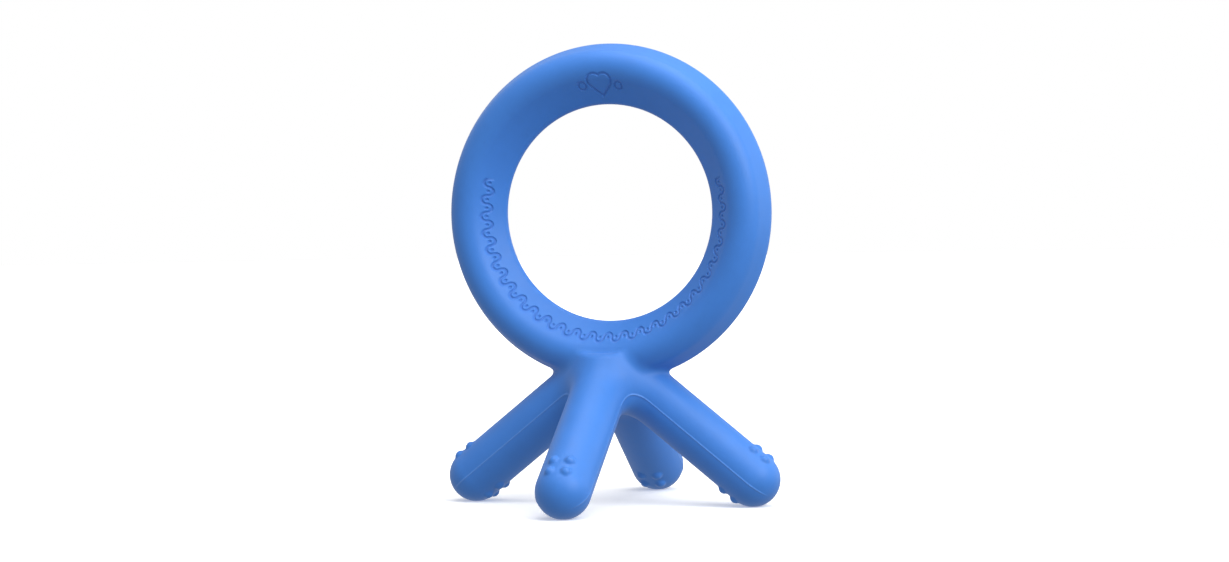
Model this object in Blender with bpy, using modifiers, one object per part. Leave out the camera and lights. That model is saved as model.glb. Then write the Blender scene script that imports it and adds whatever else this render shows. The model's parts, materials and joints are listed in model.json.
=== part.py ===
"""A silicone teething ring that stands on four spread legs.

The real article is one soft moulding. It is built here as the stretches that move against each
other when it is squeezed: a hand ring, a hub, and four legs that each bend at the root and at a
knuckle. Every bend is a ball end seated in a matching dish, so the stretches stay clear of each other
all through their travel.

Frame: metres, +Z up, the origin on the resting plane under the middle of the legs. The ring stands in
the XZ plane and the legs spread along -Y (front), +X (right), +Y (back) and -X (left).
"""

from math import acos, asin, atan2, cos, hypot, pi, radians, sin

import bpy
from mathutils import Matrix, Vector

# Driving dimensions, in metres and degrees.
RING_OUTER_R = 0.0410  # outside radius of the hand ring
RING_HALF_WIDTH = 0.00735  # half of the section, from the hole's edge to the outer edge
RING_HALF_THICK = 0.00755  # half of the section at its crest, front to back
CREST_OFFSET = 0.00145  # the crest stands this far outside the middle of the section
HOLE_EDGE_R = 0.0017  # rounding of the section at the hole
CREST_R = 0.0046  # rounding of the section at the front and back crests
OUTER_EDGE_R = 0.0027  # rounding of the section at the outer edge
RING_Z = 0.0709  # height of the ring's centre
LEG_R = 0.00663  # radius of a leg
LEG_TILT = 51.5  # degrees between a leg and the vertical
LEG_ROOT_Z = 0.0336  # height where the legs' axes start
LEG_ROOT_OFFSET = 0.0015  # how far from the middle each axis starts
FOOT_FLAT = 0.00015  # depth of the flat that a foot rests on
ROOT_PIVOT = 0.0170  # from the start of a leg's axis to its root bend
KNUCKLE_PIVOT = 0.0300  # from the start of a leg's axis to its knuckle bend
DISH_CUT = 0.0035  # a dish's rim lies this far short of its bend's centre
NECK_R = 0.0090  # radius of the rounded seat that the ring tilts on, about X
NECK_HALF_WIDTH = 0.0140  # half of that seat's length along X
GAP = 0.0003  # clearance between neighbouring pieces
BUMP_R = 0.00125  # radius of a bump's outline on the foot
BUMP_HEIGHT = 0.00080  # how far a bump stands proud
BUMP_PITCH = 0.00360  # spacing along the leg of the bumps in each group of two by two
BUMP_SPREAD = 0.00425  # their spacing round the leg
BUMP_START = -0.0003  # the outer row lies this far short of the foot's centre, along the leg

BLUE = (0.062, 0.198, 0.604)  # linear colour of the silicone
ROUGHNESS = 0.45

RING_STEPS = 72
LEG_STEPS = 28
BUMP_SEGMENTS = 10
ARC_STEP = radians(18)  # the most that a profile's rounding turns between two points
OVERSIZE = 0.0200  # how far the floor cutter runs past the feet
WELD = 0.00001

# A leg's name, its bearing about +Z from +X, and how far the facets of its stub on the hub are turned,
# in facets: each a little differently, so that no two facets of neighbouring stubs coincide.
LEGS = (
    ("front", -90.0, 0.31),
    ("right", 0.0, 0.00),
    ("back", 90.0, 0.43),
    ("left", 180.0, 0.12),
)

TILT = radians(LEG_TILT)
FOOT_Z = LEG_R - FOOT_FLAT
LEG_LENGTH = (LEG_ROOT_Z - FOOT_Z) / cos(TILT)
SECTION_R = RING_OUTER_R - RING_HALF_WIDTH
DISH_R = LEG_R + GAP


def clear_scene():
    for obj in list(bpy.data.objects):
        bpy.data.objects.remove(obj, do_unlink=True)


def new_collection(name):
    collection = bpy.data.collections.new(name)
    bpy.context.scene.collection.children.link(collection)
    return collection


def silicone(name):
    """A matt moulded silicone."""
    material = bpy.data.materials.new(name)
    material.use_nodes = True
    shader = material.node_tree.nodes["Principled BSDF"]
    shader.inputs["Base Color"].default_value = (*BLUE, 1.0)
    shader.inputs["Roughness"].default_value = ROUGHNESS
    shader.inputs["Metallic"].default_value = 0.0
    return material


def add(collection, name, mesh, material=None):
    obj = bpy.data.objects.new(name, mesh)
    collection.objects.link(obj)
    if material:
        mesh.materials.append(material)
    return obj


def as_cutter(obj, cutters):
    """Keeps an object only as a shape for Booleans, in the cutters' collection."""
    for collection in list(obj.users_collection):
        collection.objects.unlink(obj)
    cutters.objects.link(obj)
    obj.hide_render = True
    obj.display_type = "WIRE"
    return obj


def arc(centre, radius, start, end):
    """Points round a rounding of a profile, in (r, z), with angles in radians from +r."""
    steps = max(1, round(abs(end - start) / ARC_STEP))
    angles = [start + (end - start) * i / steps for i in range(steps + 1)]
    return [(centre[0] + radius * cos(a), centre[1] + radius * sin(a)) for a in angles]


def tangent_angle(first, second):
    """The direction of the outward normal on the line that touches two roundings, on their left."""
    (ax, ay, ar), (bx, by, br) = first, second
    along = atan2(by - ay, bx - ax)
    return along + pi / 2 + asin((br - ar) / hypot(bx - ax, by - ay))


def turned(name, points, steps, closed, material, collection, start=0.0):
    """A profile in (r, z), listed from the top down its outer side, turned once about local Z."""
    mesh = bpy.data.meshes.new(name)
    edges = [(i, i + 1) for i in range(len(points) - 1)]
    if closed:
        edges.append((len(points) - 1, 0))
    mesh.from_pydata([(r * cos(start), r * sin(start), z) for r, z in points], edges, [])
    obj = add(collection, name, mesh, material)
    screw = obj.modifiers.new("Turn", "SCREW")
    screw.axis = "Z"
    screw.angle = 2 * pi
    screw.steps = steps
    screw.render_steps = steps
    screw.use_merge_vertices = True
    screw.merge_threshold = WELD
    screw.use_smooth_shade = True
    return obj


def boolean(obj, operation, other):
    modifier = obj.modifiers.new(operation.title(), "BOOLEAN")
    modifier.operation = operation
    modifier.solver = "EXACT"
    modifier.object = other


def ring_section():
    """Roundings at the hole's edge, the upper crest and the outer edge, as (r, z, radius)."""
    hole = (SECTION_R - RING_HALF_WIDTH + HOLE_EDGE_R, 0.0, HOLE_EDGE_R)
    crest = (SECTION_R + CREST_OFFSET, RING_HALF_THICK - CREST_R, CREST_R)
    outer = (SECTION_R + RING_HALF_WIDTH - OUTER_EDGE_R, 0.0, OUTER_EDGE_R)
    return hole, crest, outer


def ring_profile():
    """The section's outline from the upper crest round the outer edge and back by the hole."""
    hole, crest, outer = ring_section()
    inner_face = tangent_angle(hole, crest)
    outer_face = tangent_angle(crest, outer)
    upper = arc(crest[:2], CREST_R, inner_face, outer_face)
    edge = arc(outer[:2], OUTER_EDGE_R, outer_face, -outer_face)
    lower = [(r, -z) for r, z in reversed(upper)]
    hole_side = arc(hole[:2], HOLE_EDGE_R, -inner_face, inner_face - 2 * pi)
    return upper + edge + lower + hole_side


def leg_matrix(obj, bearing, along):
    """Puts a leg's stretch with its origin on the leg's axis and its local +Z out to the foot."""
    out = Vector((cos(radians(bearing)), sin(radians(bearing)), 0.0))
    root = out * LEG_ROOT_OFFSET + Vector((0.0, 0.0, LEG_ROOT_Z))
    direction = out * sin(TILT) - Vector((0.0, 0.0, cos(TILT)))
    obj.location = root + direction * along
    obj.rotation_euler = (0.0, pi - TILT, radians(bearing))


def dish_profile(length):
    """The last stretch of a profile: down to a dish's rim and along its hollow to the axis."""
    rim_angle = acos(DISH_CUT / DISH_R)
    rim = (DISH_R * sin(rim_angle), length - DISH_CUT)
    hollow = arc((0.0, length), DISH_R, rim_angle - pi / 2, -pi / 2)
    return rim, hollow


def stretch_profile(length, dished):
    """A leg's stretch: a ball end about the origin, then a rod to a dish or a round foot."""
    ball = arc((0.0, 0.0), LEG_R, -pi / 2, 0.0)
    if dished:
        rim, hollow = dish_profile(length)
        end = list(reversed(hollow)) + [rim, (LEG_R, length - DISH_CUT)]
    else:
        end = arc((0.0, length), LEG_R, pi / 2, 0.0)
    outline = end + list(reversed(ball))
    return [(0.0 if abs(r) < WELD else r, z) for r, z in drop_repeats(outline)]


def drop_repeats(points):
    """The outline without points that lie on the one before."""
    kept = [points[0]]
    for point in points[1:]:
        if hypot(point[0] - kept[-1][0], point[1] - kept[-1][1]) > WELD:
            kept.append(point)
    return kept


def make_neck_bar(name, radius, half_width, cutters):
    """A round bar along X on the ring's tilting axis."""
    bpy.ops.mesh.primitive_cylinder_add(
        vertices=RING_STEPS, radius=radius, depth=2 * half_width,
        location=(0.0, 0.0, LEG_ROOT_Z), rotation=(0.0, pi / 2, 0.0))
    bar = bpy.context.object
    bar.name = name
    return as_cutter(bar, cutters)


def whole_ring(name, parts):
    """The ring's section turned all the way round, upright at its height."""
    ring = turned(name, ring_profile(), RING_STEPS, True, silicone(f"{name}_silicone"), parts)
    ring.location = (0.0, 0.0, RING_Z)
    ring.rotation_euler = (pi / 2, 0.0, 0.0)
    return ring


def make_ring(parts, cutters):
    """The hand ring, with a hollow at its foot that sits over the hub's rounded seat."""
    ring = whole_ring("ring", parts)
    seat = make_neck_bar("ring_seat_cutter", NECK_R + GAP, NECK_HALF_WIDTH + GAP, cutters)
    boolean(ring, "DIFFERENCE", seat)


def make_hub(parts, cutters):
    """The hub: the foot of the ring's own section, and four stubs with a dished end each."""
    hub = whole_ring("hub", parts)
    boolean(hub, "INTERSECT", make_neck_bar("hub_seat_shape", NECK_R, NECK_HALF_WIDTH, cutters))
    for name, bearing, facet_turn in LEGS:
        stub = turned(f"{name}_stub", stretch_profile(ROOT_PIVOT, True), LEG_STEPS, False, None,
                      cutters, start=facet_turn * pi / LEG_STEPS)
        leg_matrix(stub, bearing, 0.0)
        boolean(hub, "UNION", as_cutter(stub, cutters))


def bump_centres(length):
    """Centres of the bumps' spheres in the foot's own frame: a group above and a group below."""
    sphere_r = (BUMP_R ** 2 + BUMP_HEIGHT ** 2) / (2 * BUMP_HEIGHT)
    height = LEG_R + BUMP_HEIGHT - sphere_r
    turn = asin(BUMP_SPREAD / 2 / LEG_R)
    centres = []
    for side in (0.0, pi):
        for row in range(2):
            for across in (-turn, turn):
                z = length + BUMP_START - row * BUMP_PITCH
                centres.append((height * cos(side + across), height * sin(side + across), z))
    return sphere_r, centres


def make_bumps(name, length, cutters):
    """The eight round bumps of one foot, as separate balls in one mesh."""
    sphere_r, centres = bump_centres(length)
    balls = []
    for centre in centres:
        bpy.ops.mesh.primitive_uv_sphere_add(
            segments=BUMP_SEGMENTS, ring_count=BUMP_SEGMENTS // 2 + 1, radius=sphere_r,
            location=centre)
        balls.append(bpy.context.object)
    with bpy.context.temp_override(active_object=balls[0], selected_editable_objects=balls):
        bpy.ops.object.join()
    group = balls[0]
    group.name = name
    group.data.transform(group.matrix_basis)
    group.location = (0.0, 0.0, 0.0)
    return as_cutter(group, cutters)


def make_floor_cutter(cutters):
    """What lies below the resting plane."""
    side = 2 * (LEG_ROOT_OFFSET + LEG_LENGTH + OVERSIZE)
    bpy.ops.mesh.primitive_cube_add(size=1.0, location=(0.0, 0.0, -OVERSIZE / 2))
    slab = bpy.context.object
    slab.name = "floor_cutter"
    slab.data.transform(Matrix.Diagonal((side, side, OVERSIZE, 1.0)))
    return as_cutter(slab, cutters)


def make_leg(name, bearing, floor_cutter, parts, cutters):
    """One leg: a shank from the root bend to the knuckle, and a foot from the knuckle down."""
    shank_length = KNUCKLE_PIVOT - ROOT_PIVOT
    shank = turned(f"{name}_shank", stretch_profile(shank_length, True), LEG_STEPS, False,
                   silicone(f"{name}_shank_silicone"), parts)
    leg_matrix(shank, bearing, ROOT_PIVOT)
    foot_length = LEG_LENGTH - KNUCKLE_PIVOT
    foot = turned(f"{name}_foot", stretch_profile(foot_length, False), LEG_STEPS, False,
                  silicone(f"{name}_foot_silicone"), parts)
    foot.parent = shank
    foot.location = (0.0, 0.0, shank_length)
    bumps = make_bumps(f"{name}_bumps", foot_length, cutters)
    bumps.parent = foot
    boolean(foot, "UNION", bumps)
    boolean(foot, "DIFFERENCE", floor_cutter)


def main():
    clear_scene()
    parts = new_collection("teething_ring")
    cutters = new_collection("cutters")
    make_ring(parts, cutters)
    make_hub(parts, cutters)
    floor_cutter = make_floor_cutter(cutters)
    for name, bearing, _ in LEGS:
        make_leg(name, bearing, floor_cutter, parts, cutters)


main()
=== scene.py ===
"""The looks of a one-piece silicone teething ring: a hand ring on four spread legs.

The whole moulding is one smooth surface, worked out here as a distance field: a rounded wedge turned
into a ring, four round-ended legs with bumps on their feet, the fillets between them, the mould's
parting lines, and a pattern pressed into the ring. It is meshed once, refined round its fine details,
and cut where the CAD bodies meet, one stretch for each body, so that no seam shows.
"""

import json

import bpy
import numpy as np
from mathutils import Matrix, Vector


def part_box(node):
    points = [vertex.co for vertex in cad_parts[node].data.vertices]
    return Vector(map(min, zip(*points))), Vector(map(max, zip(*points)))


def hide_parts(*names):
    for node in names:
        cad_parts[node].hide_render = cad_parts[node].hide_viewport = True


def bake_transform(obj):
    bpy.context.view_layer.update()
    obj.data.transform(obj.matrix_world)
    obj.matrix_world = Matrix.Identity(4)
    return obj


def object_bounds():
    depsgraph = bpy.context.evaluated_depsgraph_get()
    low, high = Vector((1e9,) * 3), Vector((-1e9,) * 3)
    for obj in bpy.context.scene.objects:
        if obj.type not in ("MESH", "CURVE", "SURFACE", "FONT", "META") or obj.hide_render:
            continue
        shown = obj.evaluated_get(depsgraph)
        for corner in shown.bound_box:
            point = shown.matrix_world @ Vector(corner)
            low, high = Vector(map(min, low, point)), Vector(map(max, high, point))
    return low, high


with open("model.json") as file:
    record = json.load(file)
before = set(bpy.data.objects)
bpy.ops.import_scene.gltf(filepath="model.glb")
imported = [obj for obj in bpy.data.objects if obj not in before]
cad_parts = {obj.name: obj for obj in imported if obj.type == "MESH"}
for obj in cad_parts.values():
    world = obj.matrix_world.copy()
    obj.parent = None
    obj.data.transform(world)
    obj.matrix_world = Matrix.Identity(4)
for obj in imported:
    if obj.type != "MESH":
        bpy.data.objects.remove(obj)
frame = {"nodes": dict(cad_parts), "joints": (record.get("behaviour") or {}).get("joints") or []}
cad_low, cad_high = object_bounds()

MM = 0.001

# Sizes that the frame gives, in metres.
JOINTS = {joint["name"]: joint for joint in frame["joints"]}
_, ring_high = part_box("ring")
shank_low, shank_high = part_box("front_shank")
RING_POINTS = np.array([v.co for v in frame["nodes"]["ring"].data.vertices], float)
OUTER_R = ring_high.x
RING_Z = ring_high.z - OUTER_R
HOLE_R = np.hypot(RING_POINTS[:, 0], RING_POINTS[:, 2] - RING_Z).min()
HALF_THICK = ring_high.y
LEG_R = (shank_high.x - shank_low.x) / 2
ROOT = np.array(JOINTS["right_leg_splay"]["pos_m"])
KNUCKLE = np.array(JOINTS["right_leg_knuckle"]["pos_m"])
LEG_AXIS = (KNUCKLE - ROOT) / np.linalg.norm(KNUCKLE - ROOT)
LEG_TOP = np.array((-LEG_AXIS[2], 0.0, LEG_AXIS[0]))  # square to a leg's axis, on its upper side

# How many quarter turns about +Z each leg is from the right one.
QUARTERS = {"right": 0, "back": 1, "left": 2, "front": 3}

# The ring's section: its roundings, and how far its crests stand outside its middle.
SECTION_R = (OUTER_R + HOLE_R) / 2
HALF_WIDTH = (OUTER_R - HOLE_R) / 2
CREST_OFFSET = 1.45 * MM
HOLE_EDGE_R = 1.7 * MM
CREST_R = 4.6 * MM
OUTER_EDGE_R = 2.7 * MM

# The legs and the fillets where they meet.
ROOT_REACH = 17.0 * MM  # from the start of a leg's axis to its root bend
FOOT_SINK = 0.15 * MM  # how far a round foot is pressed flat where it rests
FLAT_EDGE = 0.06 * MM  # rounding at the edge of that flat
START = ROOT - LEG_AXIS * ROOT_REACH
FOOT = START + LEG_AXIS * ((START[2] - LEG_R + FOOT_SINK) / -LEG_AXIS[2])
CROTCH_FILLET = 6.8 * MM
NECK_FILLET = 2.0 * MM  # in the armpits, beside the ring
ARCH_FILLET = 0.9 * MM  # over the tops of the front and back legs
ARCH_HALF_WIDTH = 5.0 * MM
ARMPIT_X = 11.0 * MM
CROWN_RISE = 1.2 * MM  # how far the legs' tops run up past the ring's crests
CROWN_FILLET = 1.2 * MM

# The bumps on a foot: a group of two by two above and another below.
BUMP_R = 1.25 * MM
BUMP_HEIGHT = 0.80 * MM
BUMP_PITCH = 3.6 * MM  # along the leg
BUMP_SPREAD = 4.25 * MM  # round the leg
BUMP_START = -0.3 * MM  # where the outer row lies along the leg, from the foot's centre
BUMP_FILLET = 0.40 * MM

# The mould's parting lines, which stand a little proud.
LINE_HEIGHT = 0.11 * MM
LINE_WIDTH = 0.17 * MM
CROTCH_ARCH = 5.0 * MM
LINE_FADE = (0.60, 0.90)  # where the line fades past a foot's centre, in leg radii
FAINT_HEIGHT = 0.035 * MM  # of the fainter line, where the two upper halves of the mould meet

# The pattern pressed into the front of the ring: a wave with dots, and a heart between two circles.
MARK_DEPTH = 0.27 * MM
MARK_WIDTH = 0.44 * MM  # from a groove's middle to its edge
WAVE_R = 30.2 * MM
WAVE_FROM = np.radians(163.5)  # counter-clockwise from +X, through the foot of the ring
WAVE_SPAN = np.radians(212.0)
WAVE_COUNT = 27
DOT_R = 0.06 * MM
HEART_R = 31.0 * MM
HEART_SIZE = 4.8 * MM
HEART_MIDDLE = 0.55  # how far up the heart its middle is, in heart sizes
LOBE = (0.25, 0.75)  # the middle of the heart's right lobe, in heart sizes from its tip
LOBE_R = np.sqrt(2.0) / 4.0
CIRCLE_R = 0.90 * MM
CIRCLE_PLACE = 4.6 * MM

# Where the pieces are cut. On a leg this is along its axis, from the axis's start. Each cut is listed
# with an end further out, where a bend starting at the cut would be over, but nothing bends the pieces.
SHANK_CUT = 14.0 * MM
SHANK_END = 20.0 * MM
FOOT_CUT = 25.0 * MM
FOOT_END = 35.0 * MM
RING_CUT = 16.0 * MM  # out along X, either way
ARMPIT_Z = 31.9 * MM  # between a side leg and the ring, at the ring's cut
RING_ONLY_Z = 55.0 * MM  # above the ring's cuts

# The mesh: how long its edges are, and how fast they grow away from the details.
COARSE = 0.8 * MM
FINE = 0.15 * MM  # on a parting line or in a groove
BUMP_SIZE = 0.28 * MM
FINE_GROWTH = 0.6
BUMP_GROWTH = 0.5
LINE_REACH = 2 * LINE_WIDTH  # edges stay fine this far from a line
FAINT_SETBACK = 2.6 * LINE_WIDTH  # the fainter line is meshed as if it were this much further off
GROOVE_REACH = 0.5 * MARK_WIDTH
TOO_LONG = 1.5  # an edge is split when it is this many times the length that is wanted
GRID_MARGIN = 3 * COARSE

# How often the mesh is refined and evened out, and how far a vertex goes towards its neighbours.
NET_ROUNDS = 6
NET_SHARE = 0.6
REFINE_PASSES = 3
REFINE_ROUNDS = 2
REFINE_SHARE = 0.35
LAST_SHARE = 0.3
LAST_ROUNDS = 4
PULL_ROUNDS = 2  # how often an evened vertex is pulled back onto the surface
PLANE_ROUNDS = 6

# Tolerances.
TAP = 0.02 * MM  # how far off the field is read for its gradient
NORMAL_TAP = 0.008 * MM
LONGEST_MOVE = 0.5 * MM
LEAST_SLOPE = 0.1  # the least squared gradient that a move is divided by
SNAP = 0.03 * MM  # a vertex this close to a cut is moved onto it
ON_CUT = 1e-9  # an edge with an end this close to a cut is left whole
ON_PLANE = 1e-8  # a triangle this little past a cut still counts as inside it
TINY = 1e-12  # keeps a move of no length from being divided by zero


def length(v):
    """The length of each vector in the last axis."""
    return np.sqrt((v * v).sum(axis=-1))


def smooth_min(a, b, k):
    """The lesser of two distances, with a fillet where they differ by less than k."""
    h = np.clip(0.5 + 0.5 * (b - a) / k, 0.0, 1.0)
    return b * (1.0 - h) + a * h - k * h * (1.0 - h)


def smooth_max(a, b, k):
    """The greater of two distances, rounded in the same way."""
    return -smooth_min(-a, -b, k)


def tangent_line(first, second):
    """The direction and outward normal of the line that touches two roundings on their left."""
    (a, ra), (b, rb) = first, second
    step = b - a
    along = np.arctan2(step[1], step[0])
    normal = along + np.pi / 2 + np.arcsin((rb - ra) / np.hypot(*step))
    n = np.array((np.cos(normal), np.sin(normal)))
    return np.array((n[1], -n[0])), n


HOLE_EDGE = (np.array((HOLE_EDGE_R - HALF_WIDTH, 0.0)), HOLE_EDGE_R)
CREST = (np.array((CREST_OFFSET, HALF_THICK - CREST_R)), CREST_R)
OUTER_EDGE = (np.array((HALF_WIDTH - OUTER_EDGE_R, 0.0)), OUTER_EDGE_R)
INNER_FLAT = tangent_line(HOLE_EDGE, CREST)
OUTER_FLAT = tangent_line(CREST, OUTER_EDGE)


def ring_distance(p):
    """Distance to the ring, whose section is the hull of four roundings, alike front and back."""
    out = np.hypot(p[:, 0], p[:, 2] - RING_Z) - SECTION_R
    s = np.stack((out, np.abs(p[:, 1])), axis=1)
    (t1, n1), (t2, n2) = INNER_FLAT, OUTER_FLAT
    flat1 = (s - HOLE_EDGE[0]) @ n1 - HOLE_EDGE[1]
    flat2 = (s - OUTER_EDGE[0]) @ n2 - OUTER_EDGE[1]
    on1 = ((s - HOLE_EDGE[0]) @ t1 >= 0) & ((s - CREST[0]) @ t1 <= 0)
    on2 = ((s - CREST[0]) @ t2 >= 0) & ((s - OUTER_EDGE[0]) @ t2 <= 0)
    round_hole, round_crest, round_outer = (length(s - c) - r for c, r in (HOLE_EDGE, CREST, OUTER_EDGE))
    found = np.where((s - OUTER_EDGE[0]) @ t2 > 0, round_outer, round_crest)
    found = np.where((s - HOLE_EDGE[0]) @ t1 < 0, round_hole, found)
    found = np.where(on2, flat2, found)
    found = np.where(on1, flat1, found)
    return np.where(on1 & on2, np.maximum(flat1, flat2), found)


def leg_distance(p):
    """Distance to the right leg."""
    along = np.clip((p - START) @ LEG_AXIS, 0.0, length(FOOT - START))
    return length(p - START - along[:, None] * LEG_AXIS) - LEG_R


def turned(p, quarters):
    """Points turned about +Z by a number of quarter turns."""
    x, y = p[:, 0], p[:, 1]
    for _ in range(quarters % 4):
        x, y = -y, x
    return np.stack((x, y, p[:, 2]), axis=1)


def base_distance(p):
    """The moulding without its fine details."""
    sides = smooth_min(leg_distance(p), leg_distance(turned(p, 2)), CROTCH_FILLET)
    ends = smooth_min(leg_distance(turned(p, 1)), leg_distance(turned(p, 3)), CROTCH_FILLET)
    legs = smooth_min(sides, ends, CROTCH_FILLET)
    crown = SECTION_R + CREST_OFFSET - CROWN_RISE - np.hypot(p[:, 0], p[:, 2] - RING_Z)
    legs = smooth_max(legs, crown, CROWN_FILLET)
    fillet = np.interp(np.abs(p[:, 0]), (ARCH_HALF_WIDTH, ARMPIT_X), (ARCH_FILLET, NECK_FILLET))
    return smooth_min(legs, ring_distance(p), fillet)


def folded(p):
    """Points brought to the +Y side of the right leg: the four legs and both sides of each are alike."""
    x, y = np.abs(p[:, 0]), np.abs(p[:, 1])
    return np.stack((np.maximum(x, y), np.minimum(x, y), p[:, 2]), axis=1)


def bump_distance(p):
    """Distance to the nearest bump, on any foot."""
    ball = (BUMP_R ** 2 + BUMP_HEIGHT ** 2) / (2 * BUMP_HEIGHT)
    height = LEG_R + BUMP_HEIGHT - ball
    turn = np.arcsin(BUMP_SPREAD / 2 / LEG_R)
    q = folded(p)
    side = np.array((0.0, height * np.sin(turn), 0.0))
    found = np.full(len(p), np.inf)
    for face in (1.0, -1.0):
        for row in (0, 1):
            along = BUMP_START - row * BUMP_PITCH
            centre = FOOT + along * LEG_AXIS + face * height * np.cos(turn) * LEG_TOP + side
            found = np.minimum(found, length(q - centre) - ball)
    return found


def parting_distance(p):
    """Height over the parting surface: it holds every leg's axis and arches over each crotch."""
    out = smooth_max(np.abs(p[:, 0]), np.abs(p[:, 1]), CROTCH_ARCH)
    surface = START[2] + (out - START[0]) * LEG_AXIS[2] / LEG_AXIS[0]
    return (p[:, 2] - surface) * LEG_AXIS[0]


def line_left(p):
    """How much of the legs' line is left: none round the feet's tips, where it is rubbed off."""
    past_foot = (folded(p) - FOOT) @ LEG_AXIS / LEG_R
    return np.interp(past_foot, LINE_FADE, (1.0, 0.0))


def parting_lines(p):
    """How much of a parting line passes a point: the legs' line, and the upper mould's fainter one."""
    over = parting_distance(p)
    main = line_left(p) * np.exp(-((over / LINE_WIDTH) ** 2))
    faint = np.exp(-((p[:, 1] / LINE_WIDTH) ** 2)) * np.clip(over / LINE_WIDTH, 0.0, 1.0)
    return main, faint


def wave_distance(r, theta):
    """Distance to a wave made of half circles, or to the dot in the middle of each half circle."""
    half = WAVE_SPAN * WAVE_R / WAVE_COUNT / 2
    along = np.mod(theta - WAVE_FROM, 2 * np.pi) * WAVE_R
    turn = np.floor(along / half)
    t = np.abs(along - (turn + 0.5) * half)
    height = (r - WAVE_R) * (1.0 - 2.0 * np.mod(turn, 2))
    here = np.abs(np.hypot(t, height) - half / 2)
    beside = np.abs(np.hypot(half - t, height) - half / 2)
    line = np.where(height > 0, here, beside)
    dots = np.maximum(np.hypot(t, height) - DOT_R, 0.0)
    return np.where(along < WAVE_SPAN * WAVE_R, np.minimum(line, dots), np.inf)


def heart_distance(x, y):
    """Distance to the outline of a heart whose tip is at the origin and whose height is about 1."""
    x = np.abs(x)
    lobe = np.abs(np.hypot(x - LOBE[0], y - LOBE[1]) - LOBE_R)
    diagonal = 0.5 * np.maximum(x + y, 0.0)
    flank = np.minimum(np.hypot(x, y - 1.0), np.hypot(x - diagonal, y - diagonal))
    return np.where(x + y > 1.0, lobe, flank)


def mark_distance(p):
    """Distance to the nearest groove of the pattern on the ring's front."""
    x, z = p[:, 0], p[:, 2] - RING_Z
    r, theta = np.hypot(x, z), np.arctan2(z, x)
    along = (theta - np.pi / 2) * HEART_R
    heart = heart_distance(along / HEART_SIZE, (r - HEART_R) / HEART_SIZE + HEART_MIDDLE) * HEART_SIZE
    circle = np.abs(np.hypot(np.abs(along) - CIRCLE_PLACE, r - HEART_R) - CIRCLE_R)
    found = np.minimum(np.minimum(heart, circle), wave_distance(r, theta))
    on_ring = (p[:, 1] < 0.0) & (p[:, 1] > -2 * HALF_THICK) & (r < SECTION_R + CREST_OFFSET)
    return np.where(on_ring, found, np.inf)


def groove(distance):
    """How deep a groove is at a distance from its middle, from 1 to 0."""
    return 0.5 + 0.5 * np.cos(np.pi * np.minimum(distance / MARK_WIDTH, 1.0))


def full_distance(p):
    """The whole moulding."""
    found = smooth_min(base_distance(p), bump_distance(p), BUMP_FILLET)
    main, faint = parting_lines(p)
    found = found - LINE_HEIGHT * main - FAINT_HEIGHT * faint
    found = found + MARK_DEPTH * groove(mark_distance(p))
    return smooth_max(found, -p[:, 2], FLAT_EDGE)


def gradient(field, p, step):
    """The field's gradient by four taps at the corners of a tetrahedron."""
    total = np.zeros_like(p)
    for corner in ((1, -1, -1), (-1, -1, 1), (-1, 1, -1), (1, 1, 1)):
        corner = np.array(corner, float)
        total += corner * field(p + corner * step)[:, None]
    return total / (4 * step)


def onto(field, p, rounds):
    """Points moved onto the field's surface along its gradient."""
    for _ in range(rounds):
        g = gradient(field, p, TAP)
        move = field(p)[:, None] * g / np.maximum((g * g).sum(axis=1), LEAST_SLOPE)[:, None]
        p = p - move * np.minimum(1.0, LONGEST_MOVE / np.maximum(length(move), TINY))[:, None]
    return p


def surface_net(values, low, step):
    """Quads where a field on a grid changes sign, with one vertex in each cell that it crosses."""
    inside = values < 0
    cells = np.array(values.shape) - 1
    points, keys, quads = [], [], []
    for axis in range(3):
        ahead = [slice(None)] * 3
        behind = [slice(None)] * 3
        ahead[axis], behind[axis] = slice(1, None), slice(None, -1)
        at = np.argwhere(inside[tuple(behind)] != inside[tuple(ahead)])
        beyond = at.copy()
        beyond[:, axis] += 1
        here, there = values[tuple(at.T)], values[tuple(beyond.T)]
        crossing = at.astype(float)
        crossing[:, axis] += here / (here - there)
        around = []
        for du, dv in ((-1, -1), (0, -1), (0, 0), (-1, 0)):
            cell = at.copy()
            cell[:, (axis + 1) % 3] += du
            cell[:, (axis + 2) % 3] += dv
            around.append(np.ravel_multi_index(cell.T, cells))
        around = np.stack(around, axis=1)
        quads.append(np.where((here < 0)[:, None], around, around[:, ::-1]))
        keys.append(around.ravel())
        points.append(np.repeat(crossing, 4, axis=0))
    keys, points, quads = np.concatenate(keys), np.concatenate(points), np.concatenate(quads)
    used, index = np.unique(keys, return_inverse=True)
    count = np.bincount(index, minlength=len(used))
    mean = [np.bincount(index, points[:, k], len(used)) / count for k in range(3)]
    return low + np.stack(mean, axis=1) * step, np.searchsorted(used, quads)


def relaxed(field, p, faces, rounds, share):
    """Vertices evened out over the surface."""
    sides = faces.shape[1]
    ends = np.concatenate([np.stack((faces[:, i], faces[:, (i + 1) % sides]), 1) for i in range(sides)])
    count = np.bincount(ends[:, 0], minlength=len(p))[:, None]
    for _ in range(rounds):
        near = [np.bincount(ends[:, 0], p[ends[:, 1], k], len(p)) for k in range(3)]
        p = onto(field, p + share * (np.stack(near, axis=1) / count - p), PULL_ROUNDS)
    return p


def halved(p, quads):
    """Each quad as two triangles, across its shorter diagonal."""
    a, b, c, d = quads.T
    short = length(p[a] - p[c]) <= length(p[b] - p[d])
    first = np.where(short[:, None], np.stack((a, b, c), 1), np.stack((a, b, d), 1))
    second = np.where(short[:, None], np.stack((a, c, d), 1), np.stack((b, c, d), 1))
    return np.concatenate((first, second))


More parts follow.
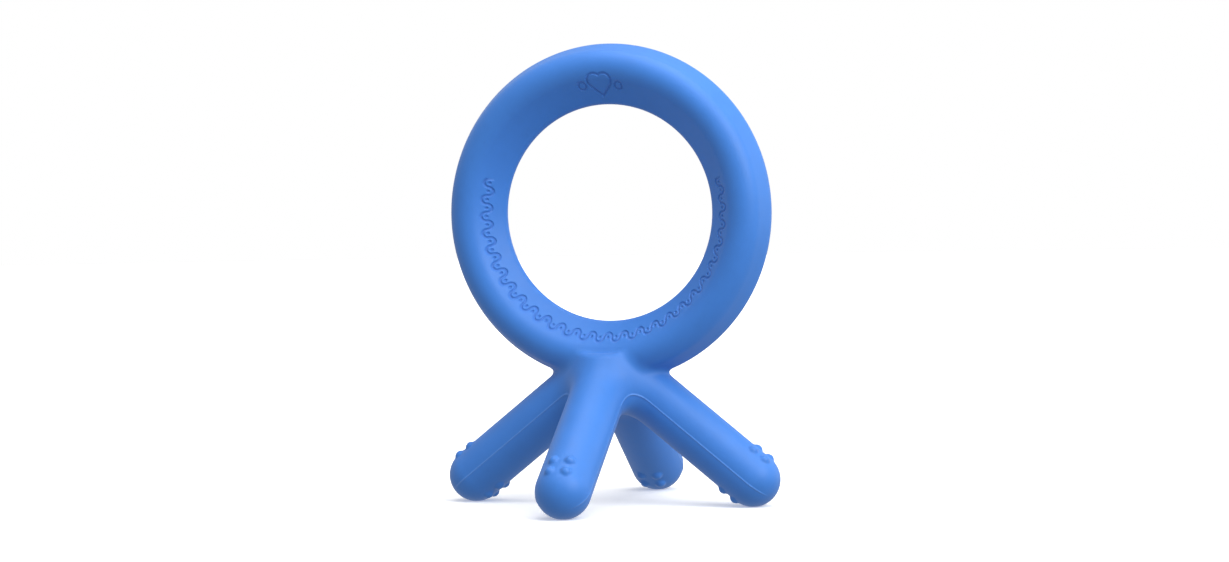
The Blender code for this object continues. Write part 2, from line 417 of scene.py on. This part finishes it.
def split(p, tris, place):
    """Triangles with new vertices on some of their edges.

    place takes the ends of every edge and gives the new vertices, and which edges get one.
    """
    ends = np.concatenate((tris[:, (0, 1)], tris[:, (1, 2)], tris[:, (2, 0)]))
    keys = ends.min(axis=1) * len(p) + ends.max(axis=1)
    unique, index = np.unique(keys, return_inverse=True)
    new, cut = place(p[unique // len(p)], p[unique % len(p)])
    number = len(p) + np.cumsum(cut) - 1
    on = cut[index].reshape(3, -1).T
    mid = number[index].reshape(3, -1).T
    p = np.concatenate((p, new[cut]))
    count = on.sum(axis=1)
    # One cut edge is turned to come first, and one whole edge of two cut ones to come last.
    shift = np.where(count == 1, on.argmax(axis=1), (on.argmin(axis=1) + 1) % 3)
    turn = (np.arange(3) + shift[:, None]) % 3
    corner = np.take_along_axis(tris, turn, axis=1)
    mid = np.take_along_axis(mid, turn, axis=1)
    out = [tris[count == 0]]
    (a, b, c), m = corner[count == 1].T, mid[count == 1, 0]
    out += [np.stack((a, m, c), 1), np.stack((m, b, c), 1)]
    (a, b, c), (m, n) = corner[count == 2].T, mid[count == 2, :2].T
    out += [np.stack((m, b, n), 1), halved(p, np.stack((a, m, n, c), 1))]
    (a, b, c), (m, n, o) = corner[count == 3].T, mid[count == 3].T
    out += [np.stack(t, 1) for t in ((a, m, o), (m, b, n), (o, n, c), (m, n, o))]
    return p, np.concatenate(out)


def wanted_size(p):
    """The edge length that the details near a point need."""
    line = np.abs(parting_distance(p))
    faint = np.abs(p[:, 1]) + FAINT_SETBACK
    nearest = np.minimum(np.minimum(line, faint), mark_distance(p) - GROOVE_REACH)
    fine = FINE + FINE_GROWTH * np.maximum(nearest - LINE_REACH, 0.0)
    bumps = BUMP_SIZE + BUMP_GROWTH * np.maximum(bump_distance(p), 0.0)
    return np.minimum(np.minimum(fine, bumps), COARSE)


def refine(a, b):
    """New vertices at the middles of edges that are too long for what they lie near."""
    middle = (a + b) / 2
    return middle, length(a - b) > TOO_LONG * wanted_size(middle)


def moulding_mesh():
    """The moulding's whole surface as triangles, small where there is detail."""
    low = np.array(cad_low) - GRID_MARGIN
    counts = np.ceil((np.array(cad_high) + GRID_MARGIN - low) / COARSE).astype(int) + 1
    axes = [low[k] + COARSE * np.arange(counts[k]) for k in range(3)]
    grid = np.stack(np.meshgrid(*axes, indexing="ij"), axis=-1).reshape(-1, 3)
    p, quads = surface_net(base_distance(grid).reshape(counts), low, COARSE)
    p = relaxed(base_distance, p, quads, NET_ROUNDS, NET_SHARE)
    tris = halved(p, quads)
    for _ in range(REFINE_PASSES):
        p, tris = split(p, tris, refine)
        p = relaxed(base_distance, p, tris, REFINE_ROUNDS, REFINE_SHARE)
    p = relaxed(full_distance, p, tris, REFINE_ROUNDS, LAST_SHARE)
    return onto(full_distance, p, LAST_ROUNDS), tris


def on_plane(field, p, point, normal):
    """Points moved onto the field's surface within a plane."""
    for _ in range(PLANE_ROUNDS):
        p = p - ((p - point) @ normal)[:, None] * normal
        p = onto(field, p, rounds=1)
    return p - ((p - point) @ normal)[:, None] * normal


def cut_along(p, tris, point, normal, reach):
    """Triangles cut along a plane, for the points that reach picks."""
    offset = (p - point) @ normal
    near = (np.abs(offset) < SNAP) & reach(p)
    p[near] = on_plane(full_distance, p[near], point, normal)

    def place(a, b):
        da, db = (a - point) @ normal, (b - point) @ normal
        crossed = (da * db < 0) & (np.minimum(abs(da), abs(db)) > ON_CUT) & reach(a) & reach(b)
        share = np.where(crossed, da / np.where(crossed, da - db, 1.0), 0.5)
        new = a + share[:, None] * (b - a)
        new[crossed] = on_plane(full_distance, new[crossed], point, normal)
        return new, crossed

    return split(p, tris, place)


def in_leg(p, quarters):
    """Whether points, turned back to the right leg's place, are in that leg's quarter."""
    q = turned(p, -quarters)
    return (q[:, 0] > np.abs(q[:, 1])) & (q[:, 2] < ARMPIT_Z)


def along_leg(p, quarters):
    """How far along a leg's axis points lie."""
    return (turned(p, -quarters) - START) @ LEG_AXIS


def leg_line(quarters):
    """The start and direction of a leg's axis."""
    return turned(START[None], quarters)[0], turned(LEG_AXIS[None], quarters)[0]


def beside_ring_cut(p):
    """Whether points are at the height of the ring's cuts, above the legs."""
    return (p[:, 2] > ARMPIT_Z) & (p[:, 2] < RING_ONLY_Z)


def cut_everywhere(p, tris):
    """The moulding cut along every plane between two pieces."""
    for quarters in QUARTERS.values():
        start, axis = leg_line(quarters)
        for reach in (SHANK_CUT, FOOT_CUT):
            p, tris = cut_along(p, tris, start + reach * axis, axis, lambda q: in_leg(q, quarters))
    for side in (1.0, -1.0):
        normal = np.array((side, 0.0, 0.0))
        p, tris = cut_along(p, tris, RING_CUT * normal, normal, beside_ring_cut)
    return p, tris


def piece_of(p, tris):
    """Which piece each triangle belongs to."""
    middle = p[tris].mean(axis=1)
    names = np.full(len(tris), "hub_skin", dtype="U20")
    beside = (np.abs(middle[:, 0]) > RING_CUT + ON_PLANE) & (middle[:, 2] > ARMPIT_Z)
    names[beside | (middle[:, 2] > RING_ONLY_Z)] = "ring_skin"
    for name, quarters in QUARTERS.items():
        inside, along = in_leg(middle, quarters), along_leg(middle, quarters) - ON_PLANE
        names[inside & (along > SHANK_CUT)] = f"{name}_shank_skin"
        names[inside & (along > FOOT_CUT)] = f"{name}_foot_skin"
    return names


def edge_loops(tris):
    """The open edges of some triangles, as closed loops of vertices in the edges' own direction."""
    ends = np.concatenate((tris[:, (0, 1)], tris[:, (1, 2)], tris[:, (2, 0)]))
    held = set(map(tuple, ends.tolist()))
    follow = {a: b for a, b in held if (b, a) not in held}
    loops = []
    while follow:
        loop = [min(follow)]
        while loop[-1] in follow:
            loop.append(follow.pop(loop[-1]))
        loops.append(loop[:-1])
    return loops


def capped(points, faces):
    """Part of the surface with a flat cap wherever it was cut, and the normals at its corners."""
    normals = gradient(full_distance, points, NORMAL_TAP)
    normals /= length(normals)[:, None]
    corner_normals = [normals[faces].reshape(-1, 3)]
    all_points, all_faces = [points], [faces]
    for loop in edge_loops(faces):
        centre = len(points) + len(all_points) - 1
        all_points.append(points[loop].mean(axis=0)[None])
        cap = np.array([(centre, b, a) for a, b in zip(loop, loop[1:] + loop[:1])])
        corners = np.concatenate(all_points)[cap]
        flat = np.cross(corners[:, 1] - corners[:, 0], corners[:, 2] - corners[:, 0]).sum(axis=0)
        all_faces.append(cap)
        corner_normals.append(np.repeat((flat / length(flat))[None], 3 * len(cap), axis=0))
    return np.concatenate(all_points), np.concatenate(all_faces), np.concatenate(corner_normals)


def make_piece(name, p, tris, material):
    """One closed piece, with what its material needs to know about each point."""
    used, index = np.unique(tris, return_inverse=True)
    points, faces, normals = capped(p[used], index.reshape(-1, 3))
    mesh = bpy.data.meshes.new(name)
    mesh.from_pydata(points.tolist(), [], faces.tolist())
    mesh.shade_smooth()
    mesh.normals_split_custom_set(normals.tolist())
    # Where the parting lines' painted highlight and the grooves' painted shade go.
    main, faint = parting_lines(points)
    for key, values in (("parting", np.maximum(main, FAINT_HIGHLIGHT_SHARE * faint)),
                        ("pressed", groove(mark_distance(points)))):
        mesh.attributes.new(key, "FLOAT", "POINT").data.foreach_set("value", values)
    mesh.materials.append(material)
    piece = bpy.data.objects.new(name, mesh)
    bpy.context.scene.collection.objects.link(piece)
    return piece


def make_skins(material):
    """The ten pieces, each standing in for one CAD node, which is hidden."""
    p, tris = cut_everywhere(*moulding_mesh())
    names = piece_of(p, tris)
    for name in ("hub", "ring"):
        skin = make_piece(f"{name}_skin", p, tris[names == f"{name}_skin"], material)
        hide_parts(name)
        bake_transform(skin)
    for name, quarters in QUARTERS.items():
        spans = (("hub", "shank", SHANK_CUT, SHANK_END), ("shank", "foot", FOOT_CUT, FOOT_END))
        for inner, outer, first, last in spans:
            skin_name = f"{name}_{outer}_skin"
            skin = make_piece(skin_name, p, tris[names == skin_name], material)
            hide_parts(f"{name}_{outer}")
            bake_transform(skin)


# The silicone's colours. The clouds and flecks are shares of the plain blue.
BLUE = (0.039, 0.185, 0.595)
DARK_CLOUD = 0.95
PALE_CLOUD = 1.05
FLECK = 1.10
MOST_FLECK = 0.35  # the most of the fleck's colour that shows, and so for the next two
MOST_GROOVE_SHADE = 0.65
MOST_PARTING_HIGHLIGHT = 0.35
# Painted shade: the darker blue that the pattern's grooves are tinted towards.
GROOVE_SHADE_BLUE = (0.040, 0.140, 0.500, 1.0)
# Painted highlight: the paler blue that the parting lines are tinted towards.
PARTING_HIGHLIGHT_BLUE = (0.170, 0.360, 0.790, 1.0)
FAINT_HIGHLIGHT_SHARE = 0.3  # how strongly the painted highlight shows on the fainter parting line, beside the main one

# Its finish.
IOR = 1.41
SHEEN = 0.10
SHEEN_ROUGHNESS = 0.55
SHEEN_TINT = (0.75, 0.85, 1.0, 1.0)
ROUGHNESS = (0.43, 0.51)  # where the mottle is least and most
GROOVE_ROUGHNESS = 0.06  # added in the pattern's grooves
RUBBED = 0.06  # taken off where the feet rest, and nothing from the next height up
RUBBED_HEIGHT = 6.0 * MM

# Its noise, with scales in cycles in a metre, and the strength and height of the bumps it makes.
NOISE_ROUGHNESS = 0.55
NOISE_RANGE = (0.3, 0.7)  # values between these are spread over the range that is asked for
CLOUD_SCALE = 55.0
MOTTLE_SCALE = 420.0
PEEL_SCALE = 1100.0
GRAIN_SCALE = 5200.0
PEEL = (0.25, 0.012 * MM)
GRAIN = (0.30, 0.006 * MM)


def new_node(nodes, kind, **values):
    """A node with some of its inputs set by name."""
    node = nodes.new(kind)
    for key, value in values.items():
        node.inputs[key.replace("_", " ")].default_value = value
    return node


def scaled_colour(factor):
    """The plain blue, made brighter or darker."""
    return (*(channel * factor for channel in BLUE), 1.0)


def noise(nodes, links, where, scale, detail):
    """Noise of a given number of cycles in a metre, from 0 to 1."""
    node = new_node(nodes, "ShaderNodeTexNoise", Scale=scale, Detail=detail, Roughness=NOISE_ROUGHNESS)
    links.new(where, node.inputs["Vector"])
    return node.outputs["Fac"]


def ranged(nodes, links, value, low, high, within=NOISE_RANGE):
    """A value taken from the range that it lies within to another one."""
    node = nodes.new("ShaderNodeMapRange")
    for key, number in zip(("From Min", "From Max", "To Min", "To Max"), (*within, low, high)):
        node.inputs[key].default_value = number
    links.new(value, node.inputs["Value"])
    return node.outputs["Result"]


def blended(nodes, links, share, first, second):
    """A mix of two colours, each a socket or a fixed colour."""
    node = nodes.new("ShaderNodeMix")
    node.data_type = "RGBA"
    for colour, key in ((first, "A"), (second, "B")):
        socket = next(s for s in node.inputs if s.name == key and s.type == "RGBA")
        if isinstance(colour, tuple):
            socket.default_value = colour
        else:
            links.new(colour, socket)
    links.new(share, node.inputs["Factor"])
    return next(s for s in node.outputs if s.type == "RGBA")


def arithmetic(nodes, links, operation, first, second):
    """The result of one operation on two values, each a socket or a fixed number."""
    node = nodes.new("ShaderNodeMath")
    node.operation = operation
    for socket, value in zip(node.inputs, (first, second)):
        if isinstance(value, float):
            socket.default_value = value
        else:
            links.new(value, socket)
    return node.outputs["Value"]


def attribute(nodes, name):
    """A value that the mesh keeps for each of its points."""
    node = nodes.new("ShaderNodeAttribute")
    node.attribute_name = name
    return node.outputs["Fac"]


def bumped(nodes, links, height, strength, distance, under=None):
    """A normal tilted by a height, over another one if there is one."""
    node = new_node(nodes, "ShaderNodeBump", Strength=strength, Distance=distance)
    links.new(height, node.inputs["Height"])
    if under:
        links.new(under, node.inputs["Normal"])
    return node.outputs["Normal"]


def silicone():
    """Matt blue silicone from a finely blasted mould: faint clouds and grain, smoother feet, painted
    shade in the pattern's grooves and a painted highlight along the parting lines.
    """
    material = bpy.data.materials.new("blue_silicone")
    material.use_nodes = True
    nodes, links = material.node_tree.nodes, material.node_tree.links
    shader = nodes["Principled BSDF"]
    shader.inputs["IOR"].default_value = IOR
    shader.inputs["Sheen Weight"].default_value = SHEEN
    shader.inputs["Sheen Roughness"].default_value = SHEEN_ROUGHNESS
    shader.inputs["Sheen Tint"].default_value = SHEEN_TINT
    where = nodes.new("ShaderNodeTexCoord").outputs["Object"]
    clouds = noise(nodes, links, where, CLOUD_SCALE, detail=3.0)
    mottle = noise(nodes, links, where, MOTTLE_SCALE, detail=4.0)
    grain = noise(nodes, links, where, GRAIN_SCALE, detail=2.0)
    peel = noise(nodes, links, where, PEEL_SCALE, detail=2.0)
    parting, pressed = attribute(nodes, "parting"), attribute(nodes, "pressed")

    colour = blended(nodes, links, ranged(nodes, links, clouds, 0.0, 1.0),
                     scaled_colour(DARK_CLOUD), scaled_colour(PALE_CLOUD))
    fleck = ranged(nodes, links, mottle, 0.0, MOST_FLECK)
    colour = blended(nodes, links, fleck, colour, scaled_colour(FLECK))
    # Painted shade: the pattern's grooves are tinted darker.
    share = arithmetic(nodes, links, "MULTIPLY", pressed, MOST_GROOVE_SHADE)
    colour = blended(nodes, links, share, colour, GROOVE_SHADE_BLUE)
    # Painted highlight: the parting lines are tinted paler.
    share = arithmetic(nodes, links, "MULTIPLY", parting, MOST_PARTING_HIGHLIGHT)
    colour = blended(nodes, links, share, colour, PARTING_HIGHLIGHT_BLUE)
    links.new(colour, shader.inputs["Base Color"])

    # The feet's ends, which slide about, are smoother, and the pattern's grooves are rougher.
    height = nodes.new("ShaderNodeSeparateXYZ")
    links.new(where, height.inputs["Vector"])
    rubbed = ranged(nodes, links, height.outputs["Z"], RUBBED, 0.0, (0.0, RUBBED_HEIGHT))
    matt = ranged(nodes, links, mottle, *ROUGHNESS)
    matt = arithmetic(nodes, links, "SUBTRACT", matt, rubbed)
    rougher = arithmetic(nodes, links, "MULTIPLY", pressed, GROOVE_ROUGHNESS)
    matt = arithmetic(nodes, links, "ADD", matt, rougher)
    links.new(matt, shader.inputs["Roughness"])

    normal = bumped(nodes, links, peel, *PEEL)
    normal = bumped(nodes, links, grain, *GRAIN, normal)
    links.new(normal, shader.inputs["Normal"])
    return material


# The studio: a white tent, four square soft boxes, and a white table lit from below.
LAMP_SIZE = 0.60
LAMP_AIM = (0.0, 0.0, 0.05)
LAMPS = {  # place, and power in watts
    "right_box": ((0.65, -0.28, 0.50), 5.3),
    "top_box": ((0.10, 0.0, 0.80), 3.5),
    "front_box": ((0.10, -0.45, 0.70), 1.4),
    "back_box": ((0.60, 0.50, 0.25), 1.0),
}
SKY = 0.52
WHITE = (1.0, 1.0, 1.0, 1.0)
FLOOR_R = 3.0
FLOOR_SIDES = 96
FLOOR_COLOUR = (0.9, 0.9, 0.9, 1.0)
FLOOR_ROUGHNESS = 0.6
FLOOR_SPECULAR = 0.2
GLOW_NEAR = 0.30  # the table's glow beside the object
GLOW_FAR = 1.00
GLOW_REACH = (0.06, 0.45)  # how far from the middle it starts to grow, and where it stops

# The camera, fitted to the outline in the photograph.
AZIMUTH, ELEVATION, ROLL = np.radians((18.767, 1.628, -0.806))
AIM_HEIGHT = 47.1 * MM  # of a point on the Z axis; the camera aims this far to its right and above it
AIM_RIGHT = 1.155 * MM
AIM_UP = 7.13 * MM
CAMERA_DISTANCE = 712.2 * MM
SENSOR_WIDTH = 36.0  # in millimetres, as the focal length
FOCAL_LENGTH = 85.69


def pale_floor():
    """A plain pale table top."""
    bpy.ops.mesh.primitive_circle_add(vertices=FLOOR_SIDES, radius=FLOOR_R, fill_type="NGON")
    floor = bpy.context.object
    floor.name = "floor"
    material = bpy.data.materials.new("pale_floor")
    material.use_nodes = True
    shader = material.node_tree.nodes["Principled BSDF"]
    shader.inputs["Base Color"].default_value = FLOOR_COLOUR
    shader.inputs["Roughness"].default_value = FLOOR_ROUGHNESS
    shader.inputs["Specular IOR Level"].default_value = FLOOR_SPECULAR
    shader.inputs["Emission Color"].default_value = WHITE
    nodes, links = material.node_tree.nodes, material.node_tree.links
    where = nodes.new("ShaderNodeTexCoord").outputs["Object"]
    distance = nodes.new("ShaderNodeVectorMath")
    distance.operation = "LENGTH"
    links.new(where, distance.inputs[0])
    glow = ranged(nodes, links, distance.outputs["Value"], GLOW_NEAR, GLOW_FAR, GLOW_REACH)
    links.new(glow, shader.inputs["Emission Strength"])
    floor.data.materials.append(material)
    floor.visible_diffuse = False  # it looks white, but throws no light up at the object
    floor.visible_glossy = False


def lamp(name, place, energy):
    """A square soft box that faces the object."""
    light = bpy.data.lights.new(name, "AREA")
    light.energy = energy
    light.size = LAMP_SIZE
    obj = bpy.data.objects.new(name, light)
    obj.location = place
    aim = Vector(LAMP_AIM) - obj.location
    obj.rotation_euler = aim.to_track_quat("-Z", "Y").to_euler()
    bpy.context.scene.collection.objects.link(obj)


def white_tent():
    """An even white surround that lights the object softly and looks plain white."""
    world = bpy.data.worlds.new("tent")
    world.use_nodes = True
    nodes, links = world.node_tree.nodes, world.node_tree.links
    lighting = nodes["Background"]
    lighting.inputs["Color"].default_value = WHITE
    lighting.inputs["Strength"].default_value = SKY
    seen = nodes.new("ShaderNodeBackground")
    seen.inputs["Color"].default_value = WHITE
    choice = nodes.new("ShaderNodeMixShader")
    rays = nodes.new("ShaderNodeLightPath")
    links.new(rays.outputs["Is Camera Ray"], choice.inputs["Fac"])
    links.new(lighting.outputs["Background"], choice.inputs[1])
    links.new(seen.outputs["Background"], choice.inputs[2])
    links.new(choice.outputs["Shader"], nodes["World Output"].inputs["Surface"])
    bpy.context.scene.world = world


def make_camera():
    """A long lens, a little above the table and to the right of the front."""
    level = np.cos(ELEVATION)
    back = np.array((np.sin(AZIMUTH) * level, -np.cos(AZIMUTH) * level, np.sin(ELEVATION)))
    right = np.array((np.cos(AZIMUTH), np.sin(AZIMUTH), 0.0))
    up = np.cross(back, right)
    target = np.array((0.0, 0.0, AIM_HEIGHT)) + right * AIM_RIGHT + up * AIM_UP
    eye = target + back * CAMERA_DISTANCE
    tilted = (right * np.cos(ROLL) + up * np.sin(ROLL), up * np.cos(ROLL) - right * np.sin(ROLL))
    lens = bpy.data.cameras.new("camera")
    lens.sensor_width = SENSOR_WIDTH
    lens.lens = FOCAL_LENGTH
    camera = bpy.data.objects.new("camera", lens)
    camera.matrix_world = Matrix([(*row, 0.0) for row in (tilted[0], tilted[1], back)] +
                                 [(0.0, 0.0, 0.0, 1.0)]).transposed()
    camera.location = eye
    bpy.context.scene.collection.objects.link(camera)
    bpy.context.scene.camera = camera


make_camera()
make_skins(silicone())
pale_floor()
white_tent()
for lamp_name, (place, energy) in LAMPS.items():
    lamp(lamp_name, place, energy)
bpy.context.scene.view_settings.view_transform = "Standard"
